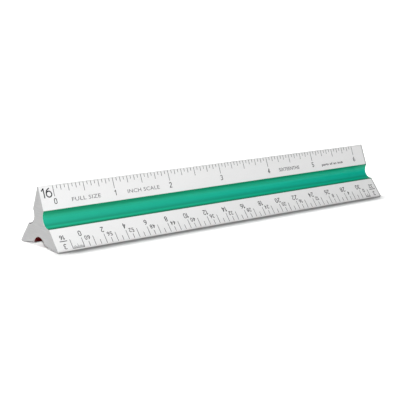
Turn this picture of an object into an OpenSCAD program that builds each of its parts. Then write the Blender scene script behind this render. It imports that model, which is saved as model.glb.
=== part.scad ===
// Triangular architect's scale: a solid aluminium bar with three concave grooves,
// a colour strip in each groove, and printed graduations and figures on six faces.
// The bar lies along X and stands on two of its three edges. The origin is at the
// middle of its length, on the surface that it stands on.

/* [Bar] */
// Graduated length, in inches, equal on all six faces
graduated_inches = 6; // [5:1:24]
// Plain length beyond the graduations at each end
end_margin = 6.35; // [5.5:0.05:15]
// Overall width across two edges
side_width = 24.9; // [22:0.1:34]
// Angle between the two faces of one arm
arm_angle = 42.5; // [36:0.5:50]
// Width of the flat on each scale face
face_width = 8.6; // [7.1:0.05:10]
// Rounding along each of the three edges
edge_radius = 0.4; // [0.1:0.05:0.6]

/* [Grooves] */
// Depth of each groove below its two shoulders
groove_depth = 2.35; // [1.4:0.05:2.9]
// Thickness of the colour strips bonded into the grooves
strip_thickness = 0.3; // [0.15:0.05:0.8]
// Distance from each end of a strip to the end of the bar
strip_end_gap = 0.1; // [0:0.05:2]

/* [Graduations] */
// Thickness of the printed ink
ink = 0.03; // [0.02:0.01:0.1]
// Width of a graduation line
line_width = 0.2; // [0.08:0.01:0.3]
// Width of the finer lines of the divided feet
fine_line_width = 0.14; // [0.08:0.01:0.2]
// Distance from the rounded edge to the outer end of the lines of the foot scales
line_inset = 0.2; // [0.05:0.05:0.5]
// Length of the inch lines on the full-size scale, which start at the rounded edge
inch_line = 3.95; // [3:0.05:4.4]
// Length of the foot lines of the larger scale on an edge
long_line = 3.65; // [3.2:0.05:4.2]
// Length of the foot lines of the smaller scale on an edge
short_line = 1.85; // [1.2:0.05:2.3]
// How far the full-size scale sits off the middle of the bar, towards its start
inch_scale_shift = 0.65; // [0:0.05:1]

/* [Figures] */
// Height of the figures
figure_height = 2.1; // [1.4:0.05:2.6]
// Height of the figures of the smaller scale on an edge
small_figure_height = 1.65; // [1.2:0.05:1.9]
// Width of the pen that draws the figures
figure_pen = 0.27; // [0.12:0.01:0.32]
// Height of the name of the full-size scale
name_height = 3.6; // [2:0.1:4]
// Width of the pen that draws it
name_pen = 0.42; // [0.2:0.01:0.5]
// Space between a line and the figure under it
figure_gap = 0.65; // [0.2:0.05:0.8]

/* [Hidden] */
$fn = 48;

inch = 25.4;
graduated = graduated_inches * inch;
bar_length = graduated + 2 * end_margin;

// Cross-section. The arms point away from the bar's axis, 120 degrees apart.
arm_half = arm_angle / 2;
edge_centre = (side_width / 2 - edge_radius) / cos(30); // from the axis to an edge's rounding
axis_height = edge_centre / 2 + edge_radius;
// Where the flat of a face starts at the edge, and its shoulder, on the upper arm's right
face_start = [edge_radius * cos(arm_half), edge_centre + edge_radius * sin(arm_half)];
shoulder = face_start + face_width * [sin(arm_half), -cos(arm_half)];
// The rounding of the upper edge, as [distance from the axis, angle]
edge_steps = 8;
edge_rounding = [
    for (i = [0:edge_steps])
        let (
            turn = arm_half + i * (180 - arm_angle) / edge_steps,
            x = edge_radius * cos(turn),
            y = edge_centre + edge_radius * sin(turn)
        )
            [norm([x, y]), atan2(y, x)]
];
// Where the carried-on flats of two arms meet, on the line between the arms
meeting_run = (face_start[1] * tan(60) - face_start[0])
    / (sin(arm_half) + cos(arm_half) * tan(60));
meeting_reach = norm(face_start + meeting_run * [sin(arm_half), -cos(arm_half)]);
// A groove lies between two arms, 60 degrees from each arm's centre line
shoulder_reach = norm(shoulder);
shoulder_turn = 60 - atan2(shoulder[0], shoulder[1]);
groove_half = shoulder_reach * sin(shoulder_turn);
shoulder_depth = shoulder_reach * cos(shoulder_turn);
groove_radius = (pow(groove_half, 2) + pow(groove_depth, 2)) / (2 * groove_depth);
groove_centre = shoulder_depth - groove_depth + groove_radius;

// Arm numbers: the three arms are counted anticlockwise, seen along -X
UPPER = 0;
FRONT = 1;
BACK = 2;

// Widths of the figures, as shares of their height
wide = 0.58;
name_wide = 0.7; // in the name of the full-size scale
narrow = 0.32; // the figure 1
letter_gap = 1.2; // space between two figures, in pens
small_figure_pen = 0.85 * figure_pen;
under_height = 0.86 * figure_height; // the number under a fraction bar
name_top = -0.4; // of the names of the scales

// The edges that carry two scales: [arm, faces_back, small unit in inches to the foot,
// parts of its divided foot, small figures every, parts of the large divided foot,
// large figures every]. The large unit is twice the small one.
EDGE_3_32 = [FRONT, true, 3 / 32, 6, 4, 12, 2];
EDGE_3_8 = [UPPER, true, 3 / 8, 12, 2, 24, 1];
EDGE_1_8 = [BACK, true, 1 / 8, 6, 4, 12, 2];
EDGE_1_2 = [FRONT, false, 1 / 2, 24, 2, 48, 1];
EDGE_1_1_2 = [BACK, false, 3 / 2, 48, 1, 96, 1];

function small_unit(edge) = edge[2] * inch;
function large_unit(edge) = 2 * small_unit(edge);
function small_zero(edge) = small_unit(edge);
// Small units that there is room for between the two zeros, and the odd number of them that is used,
// so that lines of both scales meet and the small figures stay clear of the long lines
function room_between(edge) = (graduated - large_unit(edge)) / small_unit(edge) - 1 + 0.001;
function units_between(edge) =
    room_between(edge) < 1 ? max(0, floor(room_between(edge))) :
    2 * floor((room_between(edge) - 1) / 2) + 1;
function large_zero(edge) = small_zero(edge) + units_between(edge) * small_unit(edge);
function scale_end(edge) = large_zero(edge) + large_unit(edge);
function whole(x) = abs(x - round(x)) < 0.001;
function on_long_line(edge, x) = whole((large_zero(edge) - x) / large_unit(edge));

// Share of a foot line's length for a part of a divided foot, by its inches
function part_share(inches) =
    whole(inches / 6) ? 0.45 :
    whole(inches / 3) ? 0.32 :
    whole(inches) ? 0.23 :
    whole(inches * 2) ? 0.17 : 0.12;

// Share of the inch line's length for a sixteenth, by its number
function sixteenth_share(n) =
    n % 16 == 0 ? 1 :
    n % 8 == 0 ? 0.84 :
    n % 4 == 0 ? 0.64 :
    n % 2 == 0 ? 0.46 : 0.31;

// The bar and its strips

// Puts a section drawn around the bar's axis in place and runs it along the bar
module along_bar(length) {
    translate([0, 0, axis_height])
        rotate([90, 0, 90])
            linear_extrude(length, center = true)
                children();
}

// The section before the grooves are cut. The flats of two neighbouring arms are carried on
// until they meet, inside the groove.
module arms_section() {
    outline = [
        for (arm = [0:2])
            for (p = concat([[meeting_reach, 30]], edge_rounding))
                p[0] * [cos(p[1] + 120 * arm), sin(p[1] + 120 * arm)]
    ];
    polygon(outline);
}

// Turns a shape drawn for the groove above the +X axis into the groove after an arm
module at_groove(arm) {
    rotate(150 + 120 * arm)
        children();
}

module aluminium_bar() {
    color("gainsboro")
        along_bar(bar_length)
            difference() {
                arms_section();
                for (arm = [0:2])
                    at_groove(arm)
                        translate([groove_centre, 0])
                            circle(groove_radius);
            }
}

// A strip lines the whole groove and ends level with both shoulders
module groove_strip(arm) {
    along_bar(bar_length - 2 * strip_end_gap)
        at_groove(arm)
            difference() {
                intersection() {
                    translate([groove_centre, 0])
                        circle(groove_radius);
                    translate([0, -groove_radius])
                        square([shoulder_depth, 2 * groove_radius]);
                }
                translate([groove_centre, 0])
                    circle(groove_radius - strip_thickness);
            }
}

module green_groove_strip() {
    color("mediumseagreen")
        groove_strip(UPPER);
}

module red_groove_strip() {
    color("firebrick")
        groove_strip(FRONT);
}

module black_groove_strip() {
    color("dimgray")
        groove_strip(BACK);
}

// Printing on a face

// Lays print drawn flat on a face. In the print x runs along the face from the start of
// the graduations, as read with the edge at the top, and y is 0 at the edge's rounding.
module on_face(arm, faces_back) {
    translate([0, 0, axis_height])
        rotate([120 * arm, 0, 0])
            rotate([0, 0, faces_back ? 180 : 0])
                translate([-graduated / 2, -face_start[0], face_start[1]])
                    rotate([90 - arm_half, 0, 0])
                        children();
}

module line_at(x, length, width = line_width, inset = line_inset) {
    translate([x - width / 2, -inset - length, 0])
        cube([width, length, ink]);
}

// A divided foot: parts counted outwards from its zero, tied by a line along the edge
module divided_foot(zero, unit, parts) {
    for (n = [1:parts - 1])
        line_at(zero + n * unit / parts, long_line * part_share(12 * n / parts), fine_line_width);
    translate([min(zero, zero + unit), -line_inset - fine_line_width, 0])
        cube([abs(unit), fine_line_width, ink]);
}

module inch_lines() {
    for (n = [0:floor(graduated_inches * 16)])
        line_at(n * inch / 16, inch_line * sixteenth_share(n), inset = 0);
}

module foot_lines(edge) {
    line_at(0, long_line);
    line_at(scale_end(edge), long_line);
    divided_foot(small_zero(edge), -small_unit(edge), edge[3]);
    divided_foot(large_zero(edge), large_unit(edge), edge[5]);
    for (x = [small_zero(edge):small_unit(edge):large_zero(edge) + 0.001])
        if (!on_long_line(edge, x))
            line_at(x, short_line);
    for (x = [large_zero(edge):-large_unit(edge):small_zero(edge) - 0.001])
        line_at(x, long_line);
}

module lines(edge) {
    color("dimgray")
        on_face(edge[0], edge[1])
            foot_lines(edge);
}

// Figures, drawn with a pen of one width

// A straight stroke from a to b, each end lengthened by its extra
module stroke(a, b, pen, extra_a = 0, extra_b = 0) {
    run = b - a;
    translate(a)
        rotate(atan2(run[1], run[0]))
            translate([-extra_a, -pen / 2, 0])
                cube([norm(run) + extra_a + extra_b, pen, ink]);
}

// A round stroke, anticlockwise
module bow(centre, radius, from, to, pen) {
    translate(centre)
        rotate(from)
            rotate_extrude(angle = to - from)
                translate([radius - pen / 2, 0])
                    square([pen, ink]);
}

module ring(centre, radius, pen) {
    translate(centre)
        difference() {
            cylinder(h = ink, r = radius + pen / 2);
            translate([0, 0, -ink])
                cylinder(h = 3 * ink, r = radius - pen / 2);
        }
}

// One figure in a box height tall and wide * height wide, with its pen's centre line
// inside it by half a pen. Its lower bowl is as wide as the box.
module figure(digit, height, pen, wide) {
    h = height - pen;
    w = wide * height - pen;
    low = w / 2; // radius of the lower bowl
    high = 0.45 * w; // radius of the upper bowl
    half = pen / 2;
    translate([half, half, 0]) {
        if (digit == 0) {
            bow([low, low], low, 180, 360, pen);
            bow([low, h - low], low, 0, 180, pen);
            stroke([0, low], [0, h - low], pen);
            stroke([w, low], [w, h - low], pen);
        }
        if (digit == 1) {
            stem = narrow * height - pen;
            stroke([stem, 0], [stem, h], pen, half, half);
            stroke([stem, h], [0, 0.78 * h], pen, 0, half);
        }
        if (digit == 2) {
            reach = norm([low, h - low]);
            leave = atan2(low - h, -low) + acos(low / reach) + 12; // a slight corner there
            bow([low, h - low], low, leave, 165, pen);
            stroke([0, 0], [low + low * cos(leave), h - low + low * sin(leave)], pen, 0, half);
            stroke([0, 0], [w, 0], pen, half, half);
        }
        if (digit == 3) {
            bow([low, low], low, -155, 90, pen);
            bow([low, h - high], high, -90, 155, pen);
        }
        if (digit == 4) {
            stroke([0.74 * w, 0], [0.74 * w, h], pen, half, half);
            stroke([0.74 * w, h], [0, 0.28 * h], pen);
            stroke([0, 0.28 * h], [w, 0.28 * h], pen, half, half);
        }
        if (digit == 5) {
            bow([low, low], low, -155, 140, pen);
            stroke([0.12 * w, h], [0.12 * w, low + 0.6 * low], pen, half, 0);
            stroke([0.12 * w, h], [0.92 * w, h], pen, 0, half);
        }
        if (digit == 6)
            six(low, h, pen);
        if (digit == 7) {
            stroke([0, h], [w, h], pen, half, half);
            stroke([w, h], [0.3 * w, 0], pen, 0, half);
        }
        if (digit == 8) {
            ring([low, low], low, pen);
            ring([low, h - high], high, pen);
        }
        if (digit == 9)
            translate([w, h, 0])
                rotate(180)
                    six(low, h, pen);
    }
}

// A closed bowl with a tail that rises from its left side
module six(low, h, pen) {
    tail = 0.62 * h;
    ring([low, low], low, pen);
    bow([tail, h - tail], tail, 104, 178, pen);
}

function figure_width(digit, height, wide) = (digit == 1 ? narrow : wide) * height;
function digits(number) = number < 10 ? [number] : [floor(number / 10), number % 10];
// Distance from the start of a number to its figure i
function figure_start(list, i, height, pen, wide) =
    i == 0 ? 0 :
    figure_start(list, i - 1, height, pen, wide)
        + figure_width(list[i - 1], height, wide) + letter_gap * pen;
function number_width(list, height, pen, wide = wide) =
    figure_start(list, len(list), height, pen, wide) - letter_gap * pen;

// A number with its top at y and centred on x
module number(value, x, y, height, pen, wide = wide) {
    list = digits(value);
    translate([x - number_width(list, height, pen, wide) / 2, y - height, 0])
        for (i = [0:len(list) - 1])
            translate([figure_start(list, i, height, pen, wide), 0, 0])
                figure(list[i], height, pen, wide);
}

// A fraction centred on x, with its top at y and a lower number a little smaller
module fraction(over, under, x, y) {
    bar = number_width(digits(under), under_height, figure_pen) + 4 * figure_pen;
    bar_top = y - figure_height - 1.4 * figure_gap;
    number(over, x, y, figure_height, figure_pen);
    translate([x - bar / 2, bar_top - figure_pen, 0])
        cube([bar, figure_pen, ink]);
    number(under, x, bar_top - figure_pen - 0.6 * figure_gap, under_height, figure_pen);
}

// The name of a scale: a whole number, a fraction, or both
module scale_name(whole_part, over, under, x) {
    whole_top = name_top - figure_height / 2 - figure_gap;
    if (over == 0)
        number(whole_part, x, whole_top, figure_height, figure_pen);
    else if (whole_part == 0)
        fraction(over, under, x, name_top);
    else {
        number(whole_part, x - 0.6 * figure_height, whole_top, figure_height, figure_pen);
        fraction(over, under, x + 0.4 * figure_height, name_top);
    }
}

// Figures under the foot lines of both scales of an edge, the larger ones further in
module foot_figures(edge) {
    small_top = -line_inset - short_line - figure_gap;
    large_top = -line_inset - long_line - figure_gap;
    small_step = edge[4] * small_unit(edge);
    large_step = edge[6] * large_unit(edge);
    for (n = [0:floor((large_zero(edge) - small_zero(edge)) / small_step + 0.001)]) {
        x = small_zero(edge) + n * small_step;
        aside = on_long_line(edge, x) ? figure_height / 2 : 0;
        number(n * edge[4], x - aside, small_top, small_figure_height, small_figure_pen);
    }
    for (n = [0:floor((large_zero(edge) - small_zero(edge)) / large_step + 0.001)])
        number(n * edge[6], large_zero(edge) - n * large_step, large_top, figure_height, figure_pen);
}

left_name = -0.5 * end_margin;
function right_name(edge) = scale_end(edge) + 0.42 * end_margin;

// The figures of an edge, with the names of its two scales given as children
module figures(edge) {
    color("dimgray")
        on_face(edge[0], edge[1]) {
            foot_figures(edge);
            children();
        }
}

// The sub-parts made of print

module lines_16() {
    color("dimgray")
        on_face(UPPER, false)
            translate([-inch_scale_shift, 0, 0])
                inch_lines();
}

module figures_16() {
    color("dimgray")
        on_face(UPPER, false)
            translate([-inch_scale_shift, 0, 0]) {
                number(16, 0.9 * left_name, name_top - 0.15, name_height, name_pen, name_wide);
                for (n = [0:floor(graduated_inches)])
                    number(n, n * inch, -inch_line - figure_gap, figure_height, figure_pen);
            }
}

module figures_3_32_and_3_16() {
    figures(EDGE_3_32) {
        scale_name(0, 3, 32, left_name);
        scale_name(0, 3, 16, right_name(EDGE_3_32));
    }
}

module figures_3_8_and_3_4() {
    figures(EDGE_3_8) {
        scale_name(0, 3, 8, left_name);
        scale_name(0, 3, 4, right_name(EDGE_3_8));
    }
}

module figures_1_8_and_1_4() {
    figures(EDGE_1_8) {
        scale_name(0, 1, 8, left_name);
        scale_name(0, 1, 4, right_name(EDGE_1_8));
    }
}

module figures_1_2_and_1() {
    figures(EDGE_1_2) {
        scale_name(0, 1, 2, left_name);
        scale_name(1, 0, 0, right_name(EDGE_1_2));
    }
}

module figures_1_1_2_and_3() {
    figures(EDGE_1_1_2) {
        scale_name(1, 1, 2, left_name);
        scale_name(3, 0, 0, right_name(EDGE_1_1_2));
    }
}

aluminium_bar();
green_groove_strip();
red_groove_strip();
black_groove_strip();
lines_16();
lines(EDGE_3_32);  // lines_3_32_and_3_16
lines(EDGE_3_8);  // lines_3_8_and_3_4
lines(EDGE_1_8);  // lines_1_8_and_1_4
lines(EDGE_1_2);  // lines_1_2_and_1
lines(EDGE_1_1_2);  // lines_1_1_2_and_3
figures_16();
figures_3_32_and_3_16();
figures_3_8_and_3_4();
figures_1_8_and_1_4();
figures_1_2_and_1();
figures_1_1_2_and_3();
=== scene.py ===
import math
import bmesh
import bpy
from mathutils import Matrix, Quaternion, Vector


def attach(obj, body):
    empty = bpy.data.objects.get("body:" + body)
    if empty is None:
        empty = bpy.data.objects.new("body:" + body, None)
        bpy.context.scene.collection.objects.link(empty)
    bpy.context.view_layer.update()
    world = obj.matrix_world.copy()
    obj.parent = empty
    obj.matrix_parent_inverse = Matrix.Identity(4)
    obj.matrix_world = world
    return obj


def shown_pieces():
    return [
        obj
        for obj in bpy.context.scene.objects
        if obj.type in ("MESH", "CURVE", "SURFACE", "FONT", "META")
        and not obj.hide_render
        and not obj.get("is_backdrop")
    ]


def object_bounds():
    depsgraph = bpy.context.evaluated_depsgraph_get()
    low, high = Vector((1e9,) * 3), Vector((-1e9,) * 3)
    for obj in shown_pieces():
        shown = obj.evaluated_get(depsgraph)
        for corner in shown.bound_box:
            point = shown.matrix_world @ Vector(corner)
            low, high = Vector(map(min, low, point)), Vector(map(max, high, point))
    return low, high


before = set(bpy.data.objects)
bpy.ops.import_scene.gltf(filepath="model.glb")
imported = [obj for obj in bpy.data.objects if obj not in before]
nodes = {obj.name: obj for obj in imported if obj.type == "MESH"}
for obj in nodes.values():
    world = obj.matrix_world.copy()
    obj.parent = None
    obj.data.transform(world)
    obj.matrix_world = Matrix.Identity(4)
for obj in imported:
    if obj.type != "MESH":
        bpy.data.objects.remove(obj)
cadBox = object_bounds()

scene = bpy.context.scene
mm = 0.001

# the part's own sizes, and the places that follow from them
sideWidth = 24.9 * mm
edgeRadius = 0.4 * mm
armHalf = math.radians(42.5 / 2)  # half of an arm's wedge
edgeCentre = (sideWidth / 2 - edgeRadius) / math.cos(math.radians(30))  # from the bar's axis to a rounding
axisHeight = edgeCentre / 2 + edgeRadius
edgeReach = edgeCentre + edgeRadius
grooveCentre = 7.46 * mm  # from the bar's axis to the middle of a groove's arc
scaleStart = (-76.2 - 0.65) * mm  # the inch scale begins here, a little off the bar's middle
rightEnd = cadBox[1][0]
ink = 0.03 * mm

print("loaded", len(nodes), "nodes")


# camera, floor and lights

cameraPlace = {
    "at": (-0.26899, -0.31674, 0.08924),
    "turn": 39.31,  # degrees from looking along +Y
    "down": 11.24,
    "roll": 0.2,
    "lens": 95.77,
    "near": 0.01, "far": 20,
}


def makeCamera(place):
    data = bpy.data.cameras.new("camera")
    data.lens = place["lens"]
    data.sensor_width = 36
    data.dof.use_dof = False
    data.clip_start = place["near"]
    data.clip_end = place["far"]
    camera = bpy.data.objects.new("camera", data)
    turn, down = math.radians(place["turn"]), math.radians(place["down"])
    look = Vector((math.sin(turn) * math.cos(down), math.cos(turn) * math.cos(down), -math.sin(down)))
    roll = Quaternion((0, 0, 1), math.radians(place["roll"]))
    camera.location = place["at"]
    camera.rotation_mode = "QUATERNION"
    camera.rotation_quaternion = look.to_track_quat("-Z", "Y") @ roll
    scene.collection.objects.link(camera)
    scene.camera = camera


def newMaterial(name):
    material = bpy.data.materials.new(name)
    material.use_nodes = True
    tree = material.node_tree
    return material, tree, tree.nodes["Principled BSDF"]


floorLook = {
    "wide": 10.0, "front": -3.0,
    "bend": 3.0, "sweep": 0.5, "steps": 12, "top": 3.5,  # where it turns up, its radius, and how high it goes
    "paper": (0.93, 0.93, 0.93, 1), "rough": 0.9, "gloss": 0.1,
}


def makeFloor(look):
    # one sheet of paper: flat under the ruler, then swept up far behind it
    outline = [(look["front"], 0)]
    for step in range(look["steps"] + 1):
        turn = math.radians(90) * step / look["steps"]
        y = look["bend"] + look["sweep"] * math.sin(turn)
        outline.append((y, look["sweep"] * (1 - math.cos(turn))))
    outline.append((look["bend"] + look["sweep"], look["top"]))
    half = look["wide"] / 2
    sheet = bmesh.new()
    rows = [[sheet.verts.new((x, y, z)) for x in (-half, half)] for y, z in outline]
    for low, high in zip(rows, rows[1:]):
        sheet.faces.new((low[0], low[1], high[1], high[0])).smooth = True
    mesh = bpy.data.meshes.new("floor")
    sheet.to_mesh(mesh)
    sheet.free()
    floor = bpy.data.objects.new("floor", mesh)
    scene.collection.objects.link(floor)
    material, tree, shader = newMaterial("white paper")
    shader.inputs["Base Color"].default_value = look["paper"]
    shader.inputs["Roughness"].default_value = look["rough"]
    shader.inputs["Specular IOR Level"].default_value = look["gloss"]
    mesh.materials.append(material)
    floor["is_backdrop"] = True


# each light: where it is, what it points at, its two widths or its spread in degrees, its power in watts,
# and what it lights
lights = {
    "rulerKey": {
        "at": (-0.21, -0.25, 0.36), "aim": (0, 0, 0.01), "size": (0.22, 0.22), "power": 2.43, "on": "ruler"},
    "floorKey": {
        "at": (0.0, 1.335, 1.76), "aim": (0, 0, 0), "size": (1.53, 0.44), "power": 84.0, "on": "stage"},
    "paperKey": {
        "at": (2.4, 2.6, 1.6), "aim": (2.6, 3.0, 0.0), "size": (2.5, 1.0), "power": 80.0, "on": "stage"},
    # clears the floor's shade under the arch of the near end
    "endSpot": {
        "at": (-0.275, -0.32, 0.12), "aim": (-0.08, 0.003, 0), "spread": 1.55, "power": 13.0, "on": "stage"},
}
spotLook = {"blend": 0.3, "radius": 0.004}
worldStrength = 0.2


def makeLights():
    groups = {name: bpy.data.collections.new(name) for name in ("ruler", "stage")}
    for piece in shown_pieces():
        groups["ruler"].objects.link(piece)
    groups["stage"].objects.link(bpy.data.objects["floor"])
    for name, look in lights.items():
        if "spread" in look:
            data = bpy.data.lights.new(name, "SPOT")
            data.spot_size = math.radians(look["spread"])
            data.spot_blend = spotLook["blend"]
            data.shadow_soft_size = spotLook["radius"]
        else:
            data = bpy.data.lights.new(name, "AREA")
            data.shape = "RECTANGLE"
            data.size, data.size_y = look["size"]
        data.energy = look["power"]
        light = bpy.data.objects.new(name, data)
        light.location = look["at"]
        light.rotation_mode = "QUATERNION"
        light.rotation_quaternion = (Vector(look["aim"]) - Vector(look["at"])).to_track_quat("-Z", "Y")
        light.light_linking.receiver_collection = groups[look["on"]]
        scene.collection.objects.link(light)
    world = bpy.data.worlds.new("studio")
    world.use_nodes = True
    background = world.node_tree.nodes["Background"]
    background.inputs["Color"].default_value = (1, 1, 1, 1)
    background.inputs["Strength"].default_value = worldStrength
    scene.world = world
    scene.view_settings.view_transform = "Standard"
    scene.view_settings.look = "None"


# helpers for the materials

def addNode(tree, kind, **settings):
    node = tree.nodes.new(kind)
    for key, value in settings.items():
        setattr(node, key, value)
    return node


def place(tree):
    return addNode(tree, "ShaderNodeTexCoord").outputs["Object"]


def noise(tree, scale, size, detail=3.0, turned=(0, 0, 0)):
    # scale stretches the noise, so a small number gives a long grain that way
    mapping = addNode(tree, "ShaderNodeMapping")
    mapping.inputs["Scale"].default_value = scale
    mapping.inputs["Rotation"].default_value = turned
    tree.links.new(place(tree), mapping.inputs["Vector"])
    node = addNode(tree, "ShaderNodeTexNoise")
    node.inputs["Scale"].default_value = size
    node.inputs["Detail"].default_value = detail
    tree.links.new(mapping.outputs["Vector"], node.inputs["Vector"])
    return node.outputs["Fac"]


def toRange(tree, value, low, high, outLow=0.0, outHigh=1.0):
    node = addNode(tree, "ShaderNodeMapRange")
    node.inputs["From Min"].default_value = low
    node.inputs["From Max"].default_value = high
    node.inputs["To Min"].default_value = outLow
    node.inputs["To Max"].default_value = outHigh
    tree.links.new(value, node.inputs["Value"])
    return node.outputs["Result"]


def maths(tree, operation, first, second=None):
    node = addNode(tree, "ShaderNodeMath", operation=operation)
    for socket, value in enumerate((first, second)):
        if isinstance(value, (int, float)):
            node.inputs[socket].default_value = value
        elif value is not None:
            tree.links.new(value, node.inputs[socket])
    return node.outputs["Value"]


def mixColour(tree, amount, first, second, blend="MIX"):
    node = addNode(tree, "ShaderNodeMix", data_type="RGBA", blend_type=blend)
    for socket, value in ((0, amount), (6, first), (7, second)):
        if isinstance(value, (tuple, float)):
            node.inputs[socket].default_value = value
        else:
            tree.links.new(value, node.inputs[socket])
    return node.outputs[2]


def ramp(tree, value, stops):
    node = addNode(tree, "ShaderNodeValToRGB")
    band = node.color_ramp
    band.interpolation = "EASE"
    while len(band.elements) < len(stops):
        band.elements.new(0.5)
    for element, (at, colour) in zip(band.elements, stops):
        element.position = at
        element.color = colour + (1,)
    tree.links.new(value, node.inputs["Fac"])
    return node.outputs["Color"]


def bump(tree, shader, height, strength, depth):
    node = addNode(tree, "ShaderNodeBump")
    node.inputs["Strength"].default_value = strength
    node.inputs["Distance"].default_value = depth
    tree.links.new(height, node.inputs["Height"])
    tree.links.new(node.outputs["Normal"], shader.inputs["Normal"])


def setMaterial(piece, material):
    piece.data.materials.clear()
    piece.data.materials.append(material)


# the bar: pale anodised aluminium, drawn along its length and sawn square at its ends, with painted shade on
# the sawn ends and a painted shadow along the end with the 6

barLook = {
    "tone": ((0.69, 0.69, 0.69, 1), (0.75, 0.75, 0.75, 1)),
    # the sawn ends: bare sawn metal, made darker still as painted shade for the end faces' weaker light
    "sawnAndShaded": ((0.375, 0.375, 0.375, 1), (0.425, 0.425, 0.425, 1)),
    "worn": (0.60, 0.60, 0.60, 1), "wornFrom": (0.7 * mm, 0.15 * mm),  # how far in from the edges it goes
    "paintedEndShadow": (0.30, 0.30, 0.30, 1), "paintedEndShadowFrom": (0.9 * mm, 0.3 * mm),  # painted shadow: a dark rim along the end with the 6, and how far in from that end it goes
    "metal": 0.15,
    "rough": (0.36, 0.48),
    # noise, each as its stretch, size and detail
    "drawn": ((12, 900, 900), 1.0, 4.0),
    "grain": ((1, 1, 1), 6000, 2.0),
    "cloud": ((0.4, 1, 1), 90, 2.0),
    "saw": ((300, 260, 5200), 1.0, 3.0, (math.radians(24), 0, 0)),
    "wear": ((60, 400, 400), 1.0, 4.0),
    "bump": (0.1, 0.02 * mm),
}


def makeBarMaterial(look):
    material, tree, shader = newMaterial("anodised aluminium")
    link = tree.links.new
    kinds = ("drawn", "grain", "cloud", "saw", "wear")
    drawn, grain, cloud, saw, wear = [noise(tree, *look[kind]) for kind in kinds]

    tone = mixColour(tree, toRange(tree, grain, 0.3, 0.7), *look["tone"])
    tone = mixColour(tree, toRange(tree, drawn, 0.35, 0.75, 0, 0.35), tone, look["tone"][0])
    tone = mixColour(tree, toRange(tree, cloud, 0.35, 0.7, 0, 0.25), tone, look["tone"][1])

    # how far each point is from the bar's axis tells where the edges are
    split = addNode(tree, "ShaderNodeSeparateXYZ")
    link(place(tree), split.inputs["Vector"])
    along, aside = split.outputs["X"], split.outputs["Y"]
    height = maths(tree, "SUBTRACT", split.outputs["Z"], axisHeight)
    squares = [maths(tree, "MULTIPLY", value, value) for value in (aside, height)]
    reach = maths(tree, "SQRT", maths(tree, "ADD", *squares))
    onEdge = toRange(tree, reach, *[edgeReach - depth for depth in look["wornFrom"]])
    worn = maths(tree, "MULTIPLY", onEdge, toRange(tree, wear, 0.35, 0.65, 0.25, 1))
    tone = mixColour(tree, worn, tone, look["worn"])
    # painted shadow: the last part of the faces at the end with the 6 is darkened to a thin dark rim
    endShadowMask = toRange(tree, along, *[rightEnd - depth for depth in look["paintedEndShadowFrom"]])
    tone = mixColour(tree, endShadowMask, tone, look["paintedEndShadow"])

    shape = addNode(tree, "ShaderNodeNewGeometry")
    facing = addNode(tree, "ShaderNodeSeparateXYZ")
    link(shape.outputs["Normal"], facing.inputs["Vector"])
    # faces that look along the bar take the sawn colour: partly bare sawn metal, partly painted shade
    onEnd = toRange(tree, maths(tree, "ABSOLUTE", facing.outputs["X"]), 0.6, 0.9)
    sawnAndShaded = mixColour(tree, toRange(tree, saw, 0.35, 0.65), *look["sawnAndShaded"])
    link(mixColour(tree, onEnd, tone, sawnAndShaded), shader.inputs["Base Color"])

    shader.inputs["Metallic"].default_value = look["metal"]
    link(toRange(tree, drawn, 0.2, 0.8, *look["rough"]), shader.inputs["Roughness"])
    lines = maths(tree, "ADD", maths(tree, "MULTIPLY", drawn, 0.6), maths(tree, "MULTIPLY", saw, onEnd))
    bump(tree, shader, lines, *look["bump"])
    return material


# the groove strips: a thin gloss lining, with painted shade and light across the groove, darkest at the lips

grooveTurn = math.radians(68)  # a little more than a strip reaches to each side


def acrossGroove(tree, direction):
    # 0 to 1 from one lip of a groove to the other, by the angle about the groove's own middle
    angle = math.radians(direction)
    split = addNode(tree, "ShaderNodeSeparateXYZ")
    tree.links.new(place(tree), split.inputs["Vector"])
    y = maths(tree, "SUBTRACT", split.outputs["Y"], grooveCentre * math.cos(angle))
    z = maths(tree, "SUBTRACT", split.outputs["Z"], axisHeight + grooveCentre * math.sin(angle))

    # turned so that the groove's floor is straight ahead
    def turned(shareY, shareZ):
        return maths(tree, "ADD", maths(tree, "MULTIPLY", y, shareY), maths(tree, "MULTIPLY", z, shareZ))
    ahead = turned(-math.cos(angle), -math.sin(angle))
    aside = turned(math.sin(angle), -math.cos(angle))
    turn = maths(tree, "ARCTAN2", aside, ahead)
    return toRange(tree, turn, -grooveTurn, grooveTurn), split.outputs["X"]


# near and far are the two ends of the ruler; shade goes across the groove: place, depth, share of blue
stripLooks = {
    "green_groove_strip": {
        "direction": 150,
        "near": (0.02, 0.42, 0.255), "far": (0.0, 0.41, 0.265), "streak": (0.015, 0.56, 0.38),
        "shade": (
            (0.0, 0.3, 0.85), (0.06, 0.48, 0.85), (0.13, 0.66, 0.88), (0.22, 0.84, 0.95), (0.34, 0.65, 1.04),
            (0.5, 0.82, 1.1), (0.65, 0.88, 1.06), (0.8, 0.92, 0.94), (0.91, 0.82, 0.86), (1.0, 0.5, 0.8)),
        "rough": 0.35, "gloss": 0.1,
    },
    "red_groove_strip": {
        "direction": 270,
        "near": (0.075, 0.0006, 0.0015), "far": (0.075, 0.0006, 0.0015), "streak": (0.11, 0.001, 0.002),
        "shade": ((0.0, 0.9, 1.0), (0.5, 1.0, 1.0), (1.0, 0.9, 1.0)),
        "rough": 0.5, "gloss": 0.02,
    },
    "black_groove_strip": {
        "direction": 30,
        "near": (0.03, 0.03, 0.032), "far": (0.03, 0.03, 0.032), "streak": (0.045, 0.045, 0.047),
        "shade": ((0.0, 0.9, 1.0), (0.5, 1.0, 1.0), (1.0, 0.9, 1.0)),
        "rough": 0.35, "gloss": 0.3,
    },
}


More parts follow.
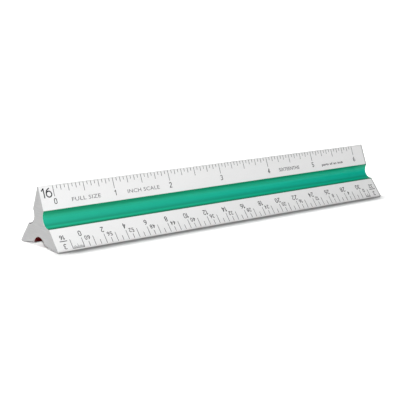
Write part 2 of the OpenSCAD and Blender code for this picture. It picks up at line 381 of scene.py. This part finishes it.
# what all strips share: noise as its stretch, size and detail, how strong the streaks are, and the bump
stripGrain = {
    "streak": ((6, 700, 700), 1.0, 3.0), "streakShare": 0.6,
    "dapple": ((30, 250, 250), 1.0, 3.0), "roughSpan": (-0.05, 0.07),
    "broad": ((2.5, 420, 420), 1.0, 2.0), "dim": (0.86, 0.86, 0.86, 1), "plain": (1, 1, 1, 1),
    "bump": (0.05, 0.02 * mm),
}


def makeStripMaterial(name, look, grain):
    material, tree, shader = newMaterial(name.replace("_", " ") + " lacquer")
    across, along = acrossGroove(tree, look["direction"])
    streak, dapple, broad = [noise(tree, *grain[kind]) for kind in ("streak", "dapple", "broad")]
    length = toRange(tree, along, -80 * mm, 80 * mm)
    colour = mixColour(tree, length, look["near"] + (1,), look["far"] + (1,))
    streaks = toRange(tree, streak, 0.45, 0.75, 0, grain["streakShare"])
    colour = mixColour(tree, streaks, colour, look["streak"] + (1,))
    dim = mixColour(tree, toRange(tree, broad, 0.35, 0.65), grain["dim"], grain["plain"])
    colour = mixColour(tree, 1.0, colour, dim, "MULTIPLY")
    # painted shade and light across the groove, darkest at the lips
    shade = ramp(tree, across, [(at, (depth, depth, depth * blue)) for at, depth, blue in look["shade"]])
    colour = mixColour(tree, 1.0, colour, shade, "MULTIPLY")
    tree.links.new(colour, shader.inputs["Base Color"])
    rough = [look["rough"] + change for change in grain["roughSpan"]]
    tree.links.new(toRange(tree, dapple, 0.3, 0.7, *rough), shader.inputs["Roughness"])
    shader.inputs["Specular IOR Level"].default_value = look["gloss"]
    bump(tree, shader, streak, *grain["bump"])
    return material


# the print: dark grey ink, thinner in places

inkLooks = {
    "lines_": {"full": (0.035, 0.035, 0.04), "thin": (0.09, 0.09, 0.095)},
    "figures_": {"full": (0.012, 0.012, 0.015), "thin": (0.05, 0.05, 0.055)},
    "words_": {"full": (0.09, 0.09, 0.095), "thin": (0.18, 0.18, 0.185)},
    "small_words_": {"full": (0.02, 0.02, 0.025), "thin": (0.06, 0.06, 0.065)},
}
inkGrain = {"patch": ((1, 1, 1), 3000, 2.0), "rough": (0.6, 0.8), "gloss": 0.2, "bump": (0.1, 0.005 * mm)}


def makeInkMaterial(name, look, grain):
    material, tree, shader = newMaterial(name)
    patch = noise(tree, *grain["patch"])
    colour = mixColour(tree, toRange(tree, patch, 0.4, 0.75), look["full"] + (1,), look["thin"] + (1,))
    tree.links.new(colour, shader.inputs["Base Color"])
    tree.links.new(toRange(tree, patch, 0.3, 0.7, *grain["rough"]), shader.inputs["Roughness"])
    shader.inputs["Specular IOR Level"].default_value = grain["gloss"]
    bump(tree, shader, patch, *grain["bump"])
    return material


# plain words beside the inch scale, in mm: where they start, how far they are below the edge, the height
# of their capitals, and their width
words = {
    "words_full_size": {
        "text": "FULL SIZE", "start": 6.7, "down": 5.1, "tall": 1.4, "wide": 12.2, "bold": 0.0},
    "words_inch_scale": {
        "text": "INCH SCALE", "start": 30.8, "down": 5.1, "tall": 1.4, "wide": 14.6, "bold": 0.0},
    "words_sixteenths": {
        "text": "SIXTEENTHS", "start": 107.3, "down": 5.1, "tall": 1.4, "wide": 11.5, "bold": 0.012},
    "small_words_parts": {
        "text": "parts of an inch", "start": 132.2, "down": 5.75, "tall": 0.95, "wide": 12.8, "bold": 0.02},
}
lettering = {"resolution": 3, "half": 0.5, "spacing": 1.05, "weld": 0.0005}


def layOnTop():
    # from flat print, x along the edge and y up to it, to the front face of the upper arm
    lie = Matrix.Rotation(math.radians(90) - armHalf, 4, "X")
    edgeY = -edgeRadius * math.cos(armHalf)
    edgeZ = axisHeight + edgeCentre + edgeRadius * math.sin(armHalf)
    return Matrix.Translation((scaleStart, edgeY, edgeZ)) @ lie


def drawWords(name, look):
    curve = bpy.data.curves.new(name, "FONT")
    curve.body = look["text"]
    curve.size = 1
    curve.resolution_u = lettering["resolution"]
    curve.extrude = lettering["half"]
    curve.space_character = lettering["spacing"]
    curve.offset = look["bold"]
    writer = bpy.data.objects.new(name, curve)
    scene.collection.objects.link(writer)
    bpy.context.view_layer.update()
    drawn = writer.evaluated_get(bpy.context.evaluated_depsgraph_get())
    mesh = bpy.data.meshes.new_from_object(drawn)
    bpy.data.objects.remove(writer)
    return mesh


def printWords(name, look):
    mesh = drawWords(name, look)
    shape = bmesh.new()
    shape.from_mesh(mesh)
    bmesh.ops.remove_doubles(shape, verts=shape.verts, dist=lettering["weld"])
    bmesh.ops.recalc_face_normals(shape, faces=shape.faces)
    left = min(v.co.x for v in shape.verts)
    right = max(v.co.x for v in shape.verts)
    top = max(v.co.y for v in shape.verts)
    scaleX = look["wide"] * mm / (right - left)
    scaleY = look["tall"] * mm / top  # the capitals stand on y = 0
    for v in shape.verts:
        v.co = ((v.co.x - left) * scaleX, (v.co.y - top) * scaleY, (v.co.z + lettering["half"]) * ink)
    shape.transform(layOnTop() @ Matrix.Translation((look["start"] * mm, -look["down"] * mm, 0)))
    shape.to_mesh(mesh)
    shape.free()
    piece = bpy.data.objects.new(name, mesh)
    scene.collection.objects.link(piece)
    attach(piece, "root")
    return piece


makeCamera(cameraPlace)
makeFloor(floorLook)
print("camera and floor are in")

setMaterial(nodes["aluminium_bar"], makeBarMaterial(barLook))
for name, look in stripLooks.items():
    setMaterial(nodes[name], makeStripMaterial(name, look, stripGrain))
inks = {start: makeInkMaterial(start + "ink", look, inkGrain) for start, look in inkLooks.items()}
for name, piece in nodes.items():
    for start, material in inks.items():
        if name.startswith(start):
            setMaterial(piece, material)
print("materials are on")

for name, look in words.items():
    kind = "small_words_" if name.startswith("small") else "words_"
    setMaterial(printWords(name, look), inks[kind])
print(len(words), "lines of words are printed")

makeLights()  # last, as they light the pieces that are there
print("lights are in")
